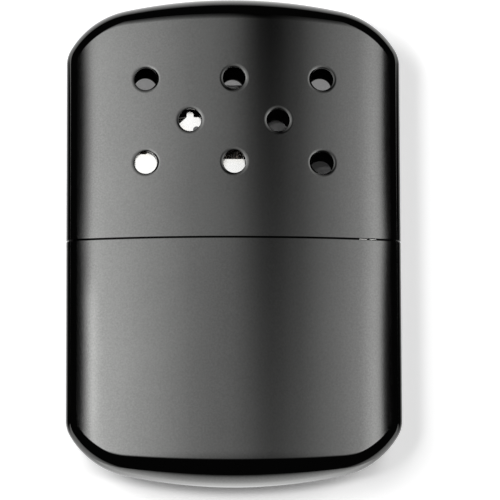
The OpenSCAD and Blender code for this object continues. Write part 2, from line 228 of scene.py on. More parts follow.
class Net:
    """A mesh under construction: points with their normals, and faces with their material's number."""

    def __init__(self):
        self.points = []
        self.normals = []
        self.faces = []
        self.slots = []

    def add(self, point, normal):
        """Adds a point and returns its number."""
        self.points.append(Vector(point))
        self.normals.append(Vector(normal).normalized())
        return len(self.points) - 1

    def add_all(self, pairs):
        """Adds points with their normals and returns their numbers."""
        return [self.add(p, n) for p, n in pairs]

    def face(self, corner_ids, slot=0):
        """Adds a face and turns it to the side that its points' normals show."""
        if len(set(corner_ids)) < len(corner_ids):
            return
        p = [self.points[i] for i in corner_ids]
        across = (p[1] - p[0]).cross(p[2] - p[0])
        if len(p) > 3:
            across += (p[2] - p[0]).cross(p[3] - p[0])
        lean = sum((self.normals[i] for i in corner_ids), Vector((0, 0, 0)))
        self.faces.append(tuple(corner_ids) if across.dot(lean) > 0 else tuple(reversed(corner_ids)))
        self.slots.append(slot)

    def strip(self, one, other, closed=False, slot=0):
        """Joins two rows of points with quads."""
        count = len(one)
        for k in range(count if closed else count - 1):
            j = (k + 1) % count
            self.face((one[k], one[j], other[j], other[k]), slot)

    def fill(self, loops, axes, inside, keep, slot=0):
        """Fills the area between closed rows of points. axes are the two coordinates to work in, inside lists
        more points to use, and keep says of a triangle's middle whether it belongs to the area."""
        a, b = axes
        ids = [i for loop in loops for i in loop] + list(inside)
        flat = [Vector((self.points[i][a], self.points[i][b])) for i in ids]
        edges, first = [], 0
        for loop in loops:
            edges += [(first + k, first + (k + 1) % len(loop)) for k in range(len(loop))]
            first += len(loop)
        made = geometry.delaunay_2d_cdt(flat, edges, [], 1, MERGE_REACH)
        source = [ids[orig[0]] for orig in made[3]]
        for triangle in made[2]:
            middle = sum((made[0][i] for i in triangle), Vector((0, 0))) / 3
            if keep(middle):
                self.face([source[i] for i in triangle], slot)

    def tube(self, path, radius, sides=8, slot=0):
        """A round wire along path, with slightly domed ends."""
        rings, side = [], None
        for k, place in enumerate(path):
            ahead = (path[min(k + 1, len(path) - 1)] - path[max(k - 1, 0)]).normalized()
            side = ahead.orthogonal() if side is None else side - ahead * side.dot(ahead)
            side.normalize()
            up = ahead.cross(side)
            turns = [2 * math.pi * j / sides for j in range(sides)]
            outs = [math.cos(turn) * side + math.sin(turn) * up for turn in turns]
            rings.append(self.add_all([(place + radius * out, out) for out in outs]))
        for one, other in zip(rings, rings[1:]):
            self.strip(one, other, closed=True, slot=slot)
        ends = ((rings[0], path[0], path[0] - path[1]), (rings[-1], path[-1], path[-1] - path[-2]))
        for ring, place, ahead in ends:
            ahead.normalize()
            tip = self.add(place + ahead * radius / 2, ahead)
            for k in range(sides):
                self.face((ring[k], ring[(k + 1) % sides], tip), slot)

    def press(self, roll):
        """Flattens a half of the casing a little towards the seam and towards its far end."""
        for p, n in zip(self.points, self.normals):
            away = 2 * p.y / HALF_L - 1
            rolled = max(0.0, p.y - ROLL_Y) if roll else 0.0
            keep = 1 - CROWN_DIP * away ** 2 - ROLL_DIP * rolled ** 2
            n.y += n.z * p.z * (4 * CROWN_DIP * away / HALF_L + 2 * ROLL_DIP * rolled) / keep
            n.z /= keep
            n.normalize()
            p.z *= keep

    def build(self, name, materials, end=1):
        """Makes the object, with its length mirrored if end is -1."""
        mesh = bpy.data.meshes.new(name)
        flip = Vector((1, end, 1))
        lift = Vector((0, 0, HALF_T))
        faces = self.faces if end > 0 else [tuple(reversed(f)) for f in self.faces]
        mesh.from_pydata([(p * flip + lift) * MM for p in self.points], [], faces)
        for material in materials:
            mesh.materials.append(material)
        mesh.polygons.foreach_set("material_index", self.slots)
        mesh.polygons.foreach_set("use_smooth", [True] * len(faces))
        mesh.normals_split_custom_set_from_vertices([n * flip for n in self.normals])
        mesh.update()
        obj = bpy.data.objects.new(name, mesh)
        bpy.context.scene.collection.objects.link(obj)
        return obj


def net_points(outline_low, outline_high, near_edge, holes, hole_reach):
    """Staggered places over an area, clear of its holes and of its edge."""
    places = []
    rows = int((outline_high.y - outline_low.y) / NET_SPACING)
    cols = int((outline_high.x - outline_low.x) / NET_SPACING)
    for j in range(1, rows):
        for i in range(cols + 1):
            x = outline_low.x + (i + 0.5 * (j % 2)) * NET_SPACING
            y = outline_low.y + j * NET_SPACING
            clear = all(math.hypot(x - hx, y - hy) > hole_reach for hx, hy in holes)
            if clear and not near_edge(x, y):
                places.append((x, y))
    return places


def near_outline(x, y):
    """True close to or past the line where the face meets the rounding, on the lid's side."""
    margin = OUTLINE_MARGIN * NET_SPACING
    place = Vector((abs(x), y))
    if place.y <= CORNER_CENTRE.y:
        return place.x > HALF_W - SIDE_DEPTH - margin
    for centre, radius, low, high in ((CROWN_CENTRE, CROWN_R, 0, CROWN_SLOPE),
                                      (SHOULDER_CENTRE, SHOULDER_R, CROWN_SLOPE, SHOULDER_SLOPE),
                                      (CORNER_CENTRE, CORNER_R, SHOULDER_SLOPE, math.pi / 2)):
        away = place - centre
        slope = math.atan2(away.x, away.y)
        if low <= slope <= high:
            return away.length > radius - edge_depth(slope) - margin
    return False


def vent_ring(net, vent, radius, height, lean):
    """A ring of points round a vent on the front. height gives z from x, and lean the normal's share towards
    the face's outside and towards the vent's middle."""
    ring = []
    for k in range(RING_STEPS):
        turn = 2 * math.pi * k / RING_STEPS
        out = Vector((math.cos(turn), math.sin(turn), 0))
        x, y = vent[0] + radius * out.x, vent[1] + radius * out.y
        ring.append(net.add((x, y, height(x)), lean[0] * face_normal(x) - lean[1] * out))
    return ring


def between_heights(share):
    """Height at a share of the sheet's thickness under the front face."""
    return lambda x: (1 - share) * face_height(x) + share * face_height(x, WALL)


def vent_profile():
    """Rings of a vent's rim from the face to the inside: radius, share of the sheet's thickness, lean."""
    rings = []
    width = RIM_W - RIM_EDGE_R
    for k in range(1, RIM_STEPS + 1):
        reach = k / RIM_STEPS
        slope = math.atan(2 * RIM_DEPTH * reach / width)
        rings.append((THROAT_R + RIM_W - width * reach, RIM_DEPTH * reach ** 2 / WALL,
                      (math.cos(slope), math.sin(slope))))
    for k in range(1, EDGE_RINGS + 1):
        turn = slope + (math.pi / 2 - slope) * k / EDGE_RINGS
        drop = RIM_EDGE_R * (math.cos(slope) - math.cos(turn))
        rings.append((THROAT_R + RIM_EDGE_R * (1 - math.sin(turn)) / (1 - math.sin(slope)),
                      (RIM_DEPTH + drop) / WALL, (math.cos(turn), math.sin(turn))))
    for k in range(ROUND_STEPS):
        turn = math.pi / 2 * k / ROUND_STEPS
        drop = 1 - RIM_INNER_R * (1 - math.sin(turn)) / WALL
        rings.append((THROAT_R + RIM_INNER_R * (1 - math.cos(turn)), drop, (-math.sin(turn), math.cos(turn))))
    return rings


# Numbers of the casing's surfaces and of their materials, and the vents' outermost radii on them
OUTSIDE, INSIDE = 0, 1
RIM_REACH = {OUTSIDE: THROAT_R + RIM_W, INSIDE: THROAT_R + RIM_INNER_R}


def casing_edges(net, cut):
    """The rounded edges of a half, outside and inside: for each surface the row of points at the seam, and
    the outlines of its front and its back face."""
    slopes = end_slopes()
    straight = CORNER_CENTRE.y - cut
    lanes = max(2, round(straight / SIDE_STEP))
    side_ys = [cut + LIP_R + (straight - LIP_R) * k / lanes for k in range(lanes)]
    rows = 2 * EDGE_STEPS + 2
    face_count = SECTION_STEPS - 1
    surfaces = {}
    for inset, slot, start, sign in ((0.0, OUTSIDE, LIP_R, 1), (WALL, INSIDE, LIP_INNER_R, -1)):

        def added(pairs):
            """Adds points with their normals turned to this surface's side."""
            return net.add_all([(p, sign * n) for p, n in pairs])
        section = added(section_loop(inset, cut + start))
        right, left = section[:rows], section[rows + face_count:2 * rows + face_count][::-1]
        back_cut = section[rows:rows + face_count]
        front_cut = section[2 * rows + face_count:]
        columns = [right]
        columns += [added(edge_column(slopes[0], inset, y)) for y in side_ys[1:]]
        columns += [added(edge_column(slope, inset)) for slope in slopes]
        columns += [added(edge_column(slopes[-1], inset, y)) for y in reversed(side_ys[1:])]
        columns.append(left)
        for one, other in zip(columns, columns[1:]):
            net.strip(one, other, slot=slot)
        surfaces[slot] = (section, [c[0] for c in columns] + front_cut, [c[-1] for c in columns] + back_cut)
    return surfaces


def vent_rims(net, vent, side):
    """A vent through the front, or the back if side is -1: its outermost rings outside and inside."""
    first = len(net.points)
    rings = [vent_ring(net, vent, RIM_REACH[OUTSIDE], face_height, (1, 0))]
    rings += [vent_ring(net, vent, radius, between_heights(share), lean)
              for radius, share, lean in vent_profile()]
    rings.append(vent_ring(net, vent, RIM_REACH[INSIDE], lambda x: face_height(x, WALL), (-1, 0)))
    for i in range(first, len(net.points)):
        net.points[i].z *= side
        net.normals[i].z *= side
    for one, other in zip(rings, rings[1:]):
        net.strip(one, other, closed=True, slot=OUTSIDE)
    return rings[0], rings[-1]


def casing_faces(net, cut, surfaces, vents):
    """The front and the back of a half, outside and inside, with the vents between them."""
    for side, which in ((1, 1), (-1, 2)):
        rims = [vent_rims(net, vent, side) for vent in vents]
        for slot, inset, sign in ((OUTSIDE, 0.0, 1), (INSIDE, WALL, -1)):
            reach = RIM_REACH[slot]
            places = net_points(Vector((-HALF_W, cut)), Vector((HALF_W, HALF_L)), near_outline, vents,
                                reach + HOLE_MARGIN * NET_SPACING)
            inside = []
            for x, y in places:
                n = face_normal(x)
                point = (x, y, side * face_height(x, inset))
                inside.append(net.add(point, (sign * n.x, 0, sign * side * n.z)))

            def keep(middle):
                """True outside the vents."""
                return all(math.hypot(middle.x - vx, middle.y - vy) > reach * HOLE_SHARE
                           for vx, vy in vents)
            net.fill([surfaces[slot][which]] + [rim[slot] for rim in rims], (0, 1), inside, keep, slot)


def casing_lip(net, cut, surfaces):
    """The sheet's edge at the seam, rounded outside and inside."""
    loops = [surfaces[OUTSIDE][0]]
    for k in range(1, ROUND_STEPS + 1):
        turn = math.pi / 2 * k / ROUND_STEPS
        loop = section_loop(LIP_R * (1 - math.cos(turn)), cut + LIP_R * (1 - math.sin(turn)))
        loops.append(net.add_all([(p, math.cos(turn) * n - math.sin(turn) * ALONG) for p, n in loop]))
    for k in range(ROUND_STEPS):
        turn = math.pi / 2 * k / ROUND_STEPS
        inset = WALL - LIP_INNER_R * (1 - math.sin(turn))
        loop = section_loop(inset, cut + LIP_INNER_R * (1 - math.cos(turn)))
        loops.append(net.add_all([(p, -math.sin(turn) * n - math.cos(turn) * ALONG) for p, n in loop]))
    loops.append(surfaces[INSIDE][0])
    for one, other in zip(loops, loops[1:]):
        net.strip(one, other, closed=True, slot=OUTSIDE)


def casing_half(name, vents, materials, end):
    """One pressed half of the casing: a closed sheet with rounded vents and a rounded edge at the seam."""
    net = Net()
    surfaces = casing_edges(net, SEAM_HALF)
    casing_faces(net, SEAM_HALF, surfaces, vents)
    casing_lip(net, SEAM_HALF, surfaces)
    net.press(end < 0)
    return net.build(name, materials, end)


# ---- Materials ----
# Most of a noise's values lie between these
NOISE_SPAN = (0.3, 0.7)


def new_material(name):
    """A material with its tree and its shader."""
    material = bpy.data.materials.new(name)
    material.use_nodes = True
    tree = material.node_tree
    return material, tree, tree.nodes["Principled BSDF"]


def noise_node(tree, scale, detail=2.0, stretch=(1, 1, 1), twist=0.0):
    """A noise over the object's own coordinates, scale in waves a metre."""
    place = tree.nodes.new("ShaderNodeTexCoord")
    mapping = tree.nodes.new("ShaderNodeMapping")
    mapping.inputs["Scale"].default_value = stretch
    texture = tree.nodes.new("ShaderNodeTexNoise")
    texture.inputs["Scale"].default_value = scale
    texture.inputs["Detail"].default_value = detail
    texture.inputs["Distortion"].default_value = twist
    tree.links.new(place.outputs["Object"], mapping.inputs["Vector"])
    tree.links.new(mapping.outputs["Vector"], texture.inputs["Vector"])
    return texture.outputs["Fac"]


def ramp_node(tree, source, stops):
    """Colours that blend from stop to stop while source goes from 0 to 1."""
    ramp = tree.nodes.new("ShaderNodeValToRGB")
    while len(ramp.color_ramp.elements) < len(stops):
        ramp.color_ramp.elements.new(0.5)
    for element, (position, colour) in zip(ramp.color_ramp.elements, stops):
        element.position = position
        element.color = (*colour, 1)
    tree.links.new(source, ramp.inputs["Fac"])
    return ramp.outputs["Color"]


def range_node(tree, source, from_low, from_high, low, high, soft=False):
    """A value that goes from low to high while source goes from from_low to from_high."""
    ranger = tree.nodes.new("ShaderNodeMapRange")
    ranger.interpolation_type = "SMOOTHSTEP" if soft else "LINEAR"
    labels = ("From Min", "From Max", "To Min", "To Max")
    for label, value in zip(labels, (from_low, from_high, low, high)):
        ranger.inputs[label].default_value = value
    tree.links.new(source, ranger.inputs["Value"])
    return ranger.outputs["Result"]


def maths_node(tree, operation, *sources):
    """A sum over values: each source is an output or a number."""
    node = tree.nodes.new("ShaderNodeMath")
    node.operation = operation
    for socket, source in zip(node.inputs, sources):
        if isinstance(source, (int, float)):
            socket.default_value = source
        else:
            tree.links.new(source, socket)
    return node.outputs[0]


def bump_node(tree, source, distance, before=None):
    """A small relief, distance metres high, added to another one if before is given."""
    bump = tree.nodes.new("ShaderNodeBump")
    bump.inputs["Distance"].default_value = distance
    tree.links.new(source, bump.inputs["Height"])
    if before:
        tree.links.new(before, bump.inputs["Normal"])
    return bump.outputs["Normal"]


def shade(colour, share):
    """A colour made darker or lighter by share."""
    return tuple(c * share for c in colour)


# The coat's grain, clouds and finest grain in waves a metre, and what they do
COAT_GRAIN = 2900
COAT_CLOUDS = 70
COAT_FINE_GRAIN = 6500
COAT_CLOUD_SHARE = 0.25
COAT_TONES = (0.91, 1.09)
COAT_GLOSS_SPREAD = 0.012
COAT_BUMP = 0.0000012


def casing_material(name, colour, rough):
    """Dark plated satin sheet: fine grain in its colour and gloss, a trace of it in the surface, faint
    clouds."""
    material, tree, shader = new_material(name)
    shader.inputs["Metallic"].default_value = 1
    grain = noise_node(tree, COAT_GRAIN, 2)
    tone = maths_node(tree, "MULTIPLY_ADD", noise_node(tree, COAT_CLOUDS, 3), COAT_CLOUD_SHARE,
                      maths_node(tree, "MULTIPLY", grain, 1 - COAT_CLOUD_SHARE))
    stops = [(0.35, shade(colour, COAT_TONES[0])), (0.65, shade(colour, COAT_TONES[1]))]
    tree.links.new(ramp_node(tree, tone, stops), shader.inputs["Base Color"])
    gloss = range_node(tree, grain, *NOISE_SPAN, rough - COAT_GLOSS_SPREAD, rough + COAT_GLOSS_SPREAD)
    tree.links.new(gloss, shader.inputs["Roughness"])
    tree.links.new(bump_node(tree, noise_node(tree, COAT_FINE_GRAIN, 1), COAT_BUMP), shader.inputs["Normal"])
    return material


# The inside's patches and grain, and the tarnish of bare metal, in waves a metre
INSIDE_PATCHES = 300
INSIDE_GRAIN = 2500
TARNISH_PATCHES = 160


def inside_material(name, colour):
    """Dull black inside of the pressed sheet, with scale in patches."""
    material, tree, shader = new_material(name)
    patches = noise_node(tree, INSIDE_PATCHES, 4)
    tree.links.new(ramp_node(tree, patches, [(0.35, shade(colour, 0.6)), (0.65, shade(colour, 1.4))]),
                   shader.inputs["Base Color"])
    tree.links.new(range_node(tree, patches, *NOISE_SPAN, 0.45, 0.65), shader.inputs["Roughness"])
    shader.inputs["Specular IOR Level"].default_value = 0.08
    tree.links.new(bump_node(tree, noise_node(tree, INSIDE_GRAIN, 2), 0.00001), shader.inputs["Normal"])
    return material


def metal_material(name, colour, rough, grain_scale=900, stretch=(1, 1, 1), bump=0.000004, tarnish=0.75):
    """Bare or plated metal with drawn or rolled grain and a little tarnish."""
    material, tree, shader = new_material(name)
    shader.inputs["Metallic"].default_value = 1
    dull = tuple(c * tarnish * t for c, t in zip(colour, (1, 0.97, 0.9)))
    patches = noise_node(tree, TARNISH_PATCHES, 4)
    tree.links.new(ramp_node(tree, patches, [(0.32, dull), (0.55, colour)]), shader.inputs["Base Color"])
    grain = noise_node(tree, grain_scale, 3, stretch)
    gloss = range_node(tree, grain, *NOISE_SPAN, rough * 0.8, rough * 1.3)
    tree.links.new(gloss, shader.inputs["Roughness"])
    tree.links.new(bump_node(tree, grain, bump), shader.inputs["Normal"])
    return material


def fibre_material(name, colour, stain, scale, stretch=(1, 1, 1), bump=0.00008, sheen=0.3):
    """Loose or pressed fibres: crossed strands in the surface, soft clumps in the colour, a pale sheen."""
    material, tree, shader = new_material(name)
    clumps = noise_node(tree, scale * 0.25, 5, twist=1.5)
    tree.links.new(ramp_node(tree, clumps, [(0.3, stain), (0.6, colour)]), shader.inputs["Base Color"])
    one = noise_node(tree, scale, 4, (stretch[0] * 0.25, stretch[1], stretch[2]), twist=2.5)
    other = noise_node(tree, scale, 4, (stretch[0], stretch[1] * 0.25, stretch[2]), twist=2.5)
    tree.links.new(range_node(tree, one, *NOISE_SPAN, 0.85, 1.0), shader.inputs["Roughness"])
    tree.links.new(bump_node(tree, one, bump, bump_node(tree, other, bump)), shader.inputs["Normal"])
    shader.inputs["Sheen Weight"].default_value = sheen
    shader.inputs["Sheen Roughness"].default_value = 0.5
    shader.inputs["Specular IOR Level"].default_value = 0.1
    return material


# ---- Casing ----
coat = casing_material("dark_satin_coat", (0.0795, 0.08, 0.0785), 0.055)
coat_inside = inside_material("dull_inside", (0.003, 0.003, 0.003))
lid = casing_half("lid_casing", VENTS, [coat, coat_inside], 1)
tank = casing_half("tank_casing", [], [coat, coat_inside], -1)
for half, node, body in ((lid, "lid_shell", "lid"), (tank, "base_shell", "base")):
    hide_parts(node)
    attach(half, body)

# ---- Metal pieces that keep the frame's shapes: colour, roughness, grain in waves a metre ----
bright = metal_material("bright_plate", (0.95, 0.95, 0.94), 0.23, 700, stretch=(1, 4, 1),
                        bump=0.000002, tarnish=0.96)
chrome = metal_material("drawn_chrome", (0.72, 0.72, 0.73), 0.1, 1200, stretch=(1, 5, 1),
                        bump=0.000002, tarnish=0.85)
steel = metal_material("rolled_steel", (0.5, 0.5, 0.5), 0.32, 900, stretch=(4, 1, 1))
solder = metal_material("dull_solder", (0.4, 0.4, 0.41), 0.45, 1500, bump=0.00002, tarnish=0.7)
spring = metal_material("spring_steel", (0.62, 0.62, 0.63), 0.2, 1500, stretch=(1, 6, 1),
                        bump=0.000003, tarnish=0.8)
dark_steel = metal_material("rivet_steel", (0.16, 0.16, 0.165), 0.35, 1800, bump=0.000008, tarnish=0.7)
wire_steel = metal_material("wire_steel", (0.34, 0.33, 0.32), 0.3, 2500, tarnish=0.6)
KEPT = {"tank_cover": chrome, "filler_neck": chrome, "burner_housing": bright, "burner_strap": bright,
        "cover_seal": solder, "neck_screen": steel, "diffuser_plate": steel, "housing_rivets": dark_steel,
        "grip_spring_left": spring, "grip_spring_right": spring, "retainer_wires": wire_steel}
# Painted shade: the cover darkens within these distances from the middle of the seam, between the halves
SEAM_PAINTED_SHADE_Y = (0.25, 0.7)
SEAM_PAINTED_SHADE_COLOUR = (0.01, 0.01, 0.01, 1)


def axis_nodes(tree):
    """X and Y of the object's own coordinates, in metres, and their sizes without sign."""
    place = tree.nodes.new("ShaderNodeTexCoord")
    split = tree.nodes.new("ShaderNodeSeparateXYZ")
    tree.links.new(place.outputs["Object"], split.inputs[0])
    x, y = split.outputs["X"], split.outputs["Y"]
    return x, y, maths_node(tree, "ABSOLUTE", x), maths_node(tree, "ABSOLUTE", y)


def paint_seam_shade(material):
    """Paints shade into a metal's colour along the seam."""
    tree = material.node_tree
    colour = tree.nodes["Principled BSDF"].inputs["Base Color"]
    mix = tree.nodes.new("ShaderNodeMix")
    mix.data_type = "RGBA"
    mix.inputs["A"].default_value = SEAM_PAINTED_SHADE_COLOUR
    tree.links.new(colour.links[0].from_socket, mix.inputs["B"])
    far_y = axis_nodes(tree)[3]
    tree.links.new(range_node(tree, far_y, SEAM_PAINTED_SHADE_Y[0] * MM, SEAM_PAINTED_SHADE_Y[1] * MM, 0, 1, True),
                   mix.inputs["Factor"])
    tree.links.new(mix.outputs["Result"], colour)


# Painted shade in the drawn chrome along the seam
paint_seam_shade(chrome)
for node, material in KEPT.items():
    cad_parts[node].data.materials.clear()
    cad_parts[node].data.materials.append(material)

# ---- Wire gauze over the catalyst ----
GAUZE_PITCH = 0.65
GAUZE_WIRE_R = 0.09
GAUZE_RIM_R = 0.16
GAUZE_FOOT = 2.0
WAVE_STEPS = 4
WIRE_SIDES = 6
ARCH_STEPS = 48
FOOT_STEPS = 20


def gauze(name, node):
    """Woven wires inside a bent rim wire, in the arched outline of the frame's gauze."""
    low, high = corners(node)
    half, foot, rise = (high.x - low.x) / 2, low.y + GAUZE_FOOT, high.y - low.y - GAUZE_FOOT
    x0, z0 = (low.x + high.x) / 2, (low.z + high.z) / 2 - HALF_T
    reach, arch = half - GAUZE_RIM_R, rise - GAUZE_RIM_R
    step = GAUZE_PITCH / WAVE_STEPS
    net = Net()

    def wave(along, across):
        """How far a wire weaves out of the middle plane."""
        return GAUZE_WIRE_R * math.cos(math.pi * along / GAUZE_PITCH) * (-1 if across % 2 else 1)
    count = int(reach / GAUZE_PITCH)
    for i in range(-count, count + 1):
        x = i * GAUZE_PITCH
        top = foot + arch * math.sqrt(1 - (x / reach) ** 2)
        bends = int((top - low.y - GAUZE_RIM_R) / step) + 1
        ys = [low.y + GAUZE_RIM_R + k * step for k in range(bends)] + [top]
        path = [Vector((x0 + x, y, z0 + wave(y - low.y, i))) for y in ys if y <= top]
        net.tube(path, GAUZE_WIRE_R, WIRE_SIDES)
    for j in range(1, int((high.y - low.y) / GAUZE_PITCH)):
        y = low.y + j * GAUZE_PITCH
        share = max(0.0, (y - foot) / arch)
        if share < 1:
            end = reach * math.sqrt(1 - share ** 2)
            steps = max(2, int(2 * end / step))
            xs = [-end + 2 * end * k / steps for k in range(steps + 1)]
            net.tube([Vector((x0 + x, y, z0 - wave(x, j))) for x in xs], GAUZE_WIRE_R, WIRE_SIDES)
    turns = [math.pi * k / ARCH_STEPS for k in range(ARCH_STEPS + 1)]
    rim = [Vector((x0 + reach * math.cos(a), foot + arch * math.sin(a), z0)) for a in turns]
    bottom = low.y + GAUZE_RIM_R
    net.tube([Vector((x0 + reach, bottom, z0))] + rim + [Vector((x0 - reach, bottom, z0))], GAUZE_RIM_R)
    foot_xs = [reach * (2 * k / FOOT_STEPS - 1) for k in range(FOOT_STEPS + 1)]
    net.tube([Vector((x0 + x, bottom, z0)) for x in foot_xs], GAUZE_RIM_R)
    piece = net.build(name, [wire_steel])
    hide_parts(node)
    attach(piece, "burner")


gauze("woven_gauze_front", "mesh_front")
gauze("woven_gauze_rear", "mesh_rear")

# ---- Beads of solder that show in the seam, right of the middle: where, and how long ----
BEADS = [(26.1, 1.5), (28.1, 1.25)]
BEAD_R = 0.12
BEAD_SINK = 0.24
BEAD_Y = -0.01
BEAD_STEPS = 8
BEAD_SIDES = 10
net = Net()
for middle, length in BEADS:
    xs = [middle + length * (k / BEAD_STEPS - 0.5) for k in range(BEAD_STEPS + 1)]
    net.tube([Vector((x, BEAD_Y, face_height(x) - BEAD_SINK)) for x in xs], BEAD_R, BEAD_SIDES)
beads = net.build("solder_beads", [bright])
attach(beads, "base")

# ---- Soft packing: each piece keeps inside the solid that it replaces ----
cotton = fibre_material("fluffy_cotton", (0.9, 0.88, 0.83), (0.8, 0.76, 0.68), 900, bump=0.00012)
felt = fibre_material("pressed_felt", (0.78, 0.75, 0.68), (0.6, 0.57, 0.5), 1800, bump=0.00005)
glass_fibre = fibre_material("catalyst_fibre", (0.5, 0.44, 0.38), (0.3, 0.26, 0.22), 1600,
                             bump=0.00006, sheen=0.15)
FIBRES = {"cotton": cotton, "felt": felt, "catalyst": glass_fibre}
# Soft pieces lie at least this deep in their solids; their small lumps are this much finer, and elsewhere
SOFT_INSET = 0.04
SMALL_LUMPS = 4.3
SMALL_OFFSET = Vector((7, 3, 5))
BIG_SHARE = 0.75


def soft_piece(name, node, body, slot, fill, voxel, lump_size, lump_depth, rounds):
    """A lumpy, round-edged pack of fibres made from the node's solid: remeshed, smoothed and moved inward."""
    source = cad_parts[node]
    rough = bpy.data.objects.new(name, source.data.copy())
    rough.data.transform(source.matrix_world)
    bpy.context.scene.collection.objects.link(rough)
    remesh = rough.modifiers.new("remesh", "REMESH")
    remesh.mode = "VOXEL"
    remesh.voxel_size = voxel * MM
    smooth = rough.modifiers.new("smooth", "SMOOTH")
    smooth.factor = 0.5
    smooth.iterations = rounds
    graph = bpy.context.evaluated_depsgraph_get()
    mesh = bpy.data.meshes.new_from_object(rough.evaluated_get(graph))
    bpy.data.objects.remove(rough)
    moves = []
    for vertex in mesh.vertices:
        place = vertex.co / (lump_size * MM)
        big = 0.5 + 0.5 * noise.noise(place)
        small = 0.5 + 0.5 * noise.noise(place * SMALL_LUMPS + SMALL_OFFSET)
        lump = lump_depth * (BIG_SHARE * big + (1 - BIG_SHARE) * small)
        moves.append(vertex.co - vertex.normal * (SOFT_INSET + lump) * MM)
    for vertex, place in zip(mesh.vertices, moves):
        vertex.co = place
    mesh.materials.clear()
    mesh.materials.append(FIBRES[slot])
    mesh.polygons.foreach_set("use_smooth", [True] * len(mesh.polygons))
    piece = bpy.data.objects.new(name, mesh)
    bpy.context.scene.collection.objects.link(piece)
    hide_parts(node)
    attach(piece, body)


BATT = {"fill": 0.7, "voxel": 0.6, "lump_size": 5.0, "lump_depth": 0.6, "rounds": 8}
soft_piece("cotton_batt_front", "wadding_front", "base", "cotton", **BATT)
soft_piece("cotton_batt_rear", "wadding_rear", "base", "cotton", **BATT)
soft_piece("cotton_batt_upper", "wadding_upper", "base", "cotton", fill=0.7, voxel=0.5, lump_size=4.0,
           lump_depth=0.5, rounds=6)
soft_piece("cotton_plug", "wick_plug", "base", "cotton", fill=0.8, voxel=0.35, lump_size=2.5,
           lump_depth=0.35, rounds=5)
soft_piece("pressed_felt_pad", "felt_pad", "base", "felt", fill=0.9, voxel=0.35, lump_size=3.0,
           lump_depth=0.1, rounds=3)
soft_piece("catalyst_pad", "catalyst_mat", "burner", "catalyst", fill=0.9, voxel=0.3, lump_size=2.0,
           lump_depth=0.25, rounds=4)

# ---- Floor ----
FLOOR_SIZE = 6000.0
FLOOR_COLOUR = (0.88, 0.88, 0.88)
FLOOR_MOTTLE = 40
FLOOR_TONE = 0.99
# Light of the floor that reaches only the picture and reflections: in the open, and under the object, where
# it is painted shade, rising as a painted glow between these places towards the lid's end
FLOOR_GLOW = 0.5
PAINTED_UNDER_GLOW = (0.018, 0.2)
PAINTED_GLOW_RISE_Y = (29.0, 33.0)
# Where the painted shade ends: beside the object, and beyond its ends, whose bow it follows
PAINTED_SHADE_END_X = (28.0, 33.0)
PAINTED_SHADE_END_Y = (49.85, 51.85)
# Only what lies within this distance above paints shade on the floor, by how much of the sky it leaves open
COVER_REACH = 20.0
COVER_OPEN = (0.3, 0.8)
# Deepest painted shade, under the middle of the lid
DEEPEST_PAINTED_SHADE_X = 4.0
DEEPEST_PAINTED_SHADE_Y = (33.7, 34.1)


def seen_node(tree):
    """1 for what the camera and reflections see, and 0 for the light that falls on things."""
    path = tree.nodes.new("ShaderNodeLightPath")
    return maths_node(tree, "MAXIMUM", maths_node(tree, "MAXIMUM", path.outputs["Is Camera Ray"],
                                                  path.outputs["Is Glossy Ray"]),
                      path.outputs["Is Transmission Ray"])


def floor_material():
    """Pale paper with soft mottling; under the object its light is painted shade, with a painted glow."""
    material, tree, shader = new_material("pale_floor")
    stops = [(NOISE_SPAN[0], shade(FLOOR_COLOUR, FLOOR_TONE)), (NOISE_SPAN[1], FLOOR_COLOUR)]
    tree.links.new(ramp_node(tree, noise_node(tree, FLOOR_MOTTLE, 3), stops), shader.inputs["Base Color"])
    shader.inputs["Roughness"].default_value = 0.9
    shader.inputs["Specular IOR Level"].default_value = 0
    x, y, far_x, far_y = axis_nodes(tree)
    bow = maths_node(tree, "MULTIPLY_ADD", maths_node(tree, "MULTIPLY", x, x), 0.5 / (CROWN_R * MM), far_y)
    # Painted shade under the object, deepest under the middle of the lid, with a painted glow towards its end
    under = maths_node(tree, "MULTIPLY",
                       range_node(tree, far_x, PAINTED_SHADE_END_X[0] * MM, PAINTED_SHADE_END_X[1] * MM, 1, 0, True),
                       range_node(tree, bow, PAINTED_SHADE_END_Y[0] * MM, PAINTED_SHADE_END_Y[1] * MM, 1, 0, True))
    deepest_painted_shade = maths_node(tree, "MULTIPLY", maths_node(tree, "LESS_THAN", far_x, DEEPEST_PAINTED_SHADE_X * MM),
                         maths_node(tree, "GREATER_THAN", y, PAINTED_GLOW_RISE_Y[0] * MM))
    open_share = maths_node(tree, "MAXIMUM", maths_node(tree, "SUBTRACT", 1, deepest_painted_shade),
                            range_node(tree, y, DEEPEST_PAINTED_SHADE_Y[0] * MM, DEEPEST_PAINTED_SHADE_Y[1] * MM, 0, 1, True))
    fade = range_node(tree, y, PAINTED_GLOW_RISE_Y[0] * MM, PAINTED_GLOW_RISE_Y[1] * MM, *PAINTED_UNDER_GLOW, True)
    painted_glow_under = maths_node(tree, "MULTIPLY", open_share, fade)
    level = tree.nodes.new("ShaderNodeMix")
    level.inputs["A"].default_value = FLOOR_GLOW
    cover = tree.nodes.new("ShaderNodeAmbientOcclusion")
    cover.inputs["Distance"].default_value = COVER_REACH * MM
    covered = range_node(tree, cover.outputs["AO"], *COVER_OPEN, 1, 0)
    tree.links.new(maths_node(tree, "MULTIPLY", under, covered), level.inputs["Factor"])
    tree.links.new(painted_glow_under, level.inputs["B"])
    shader.inputs["Emission Color"].default_value = (1, 1, 1, 1)
    tree.links.new(maths_node(tree, "MULTIPLY", level.outputs["Result"], seen_node(tree)),
                   shader.inputs["Emission Strength"])
    return material


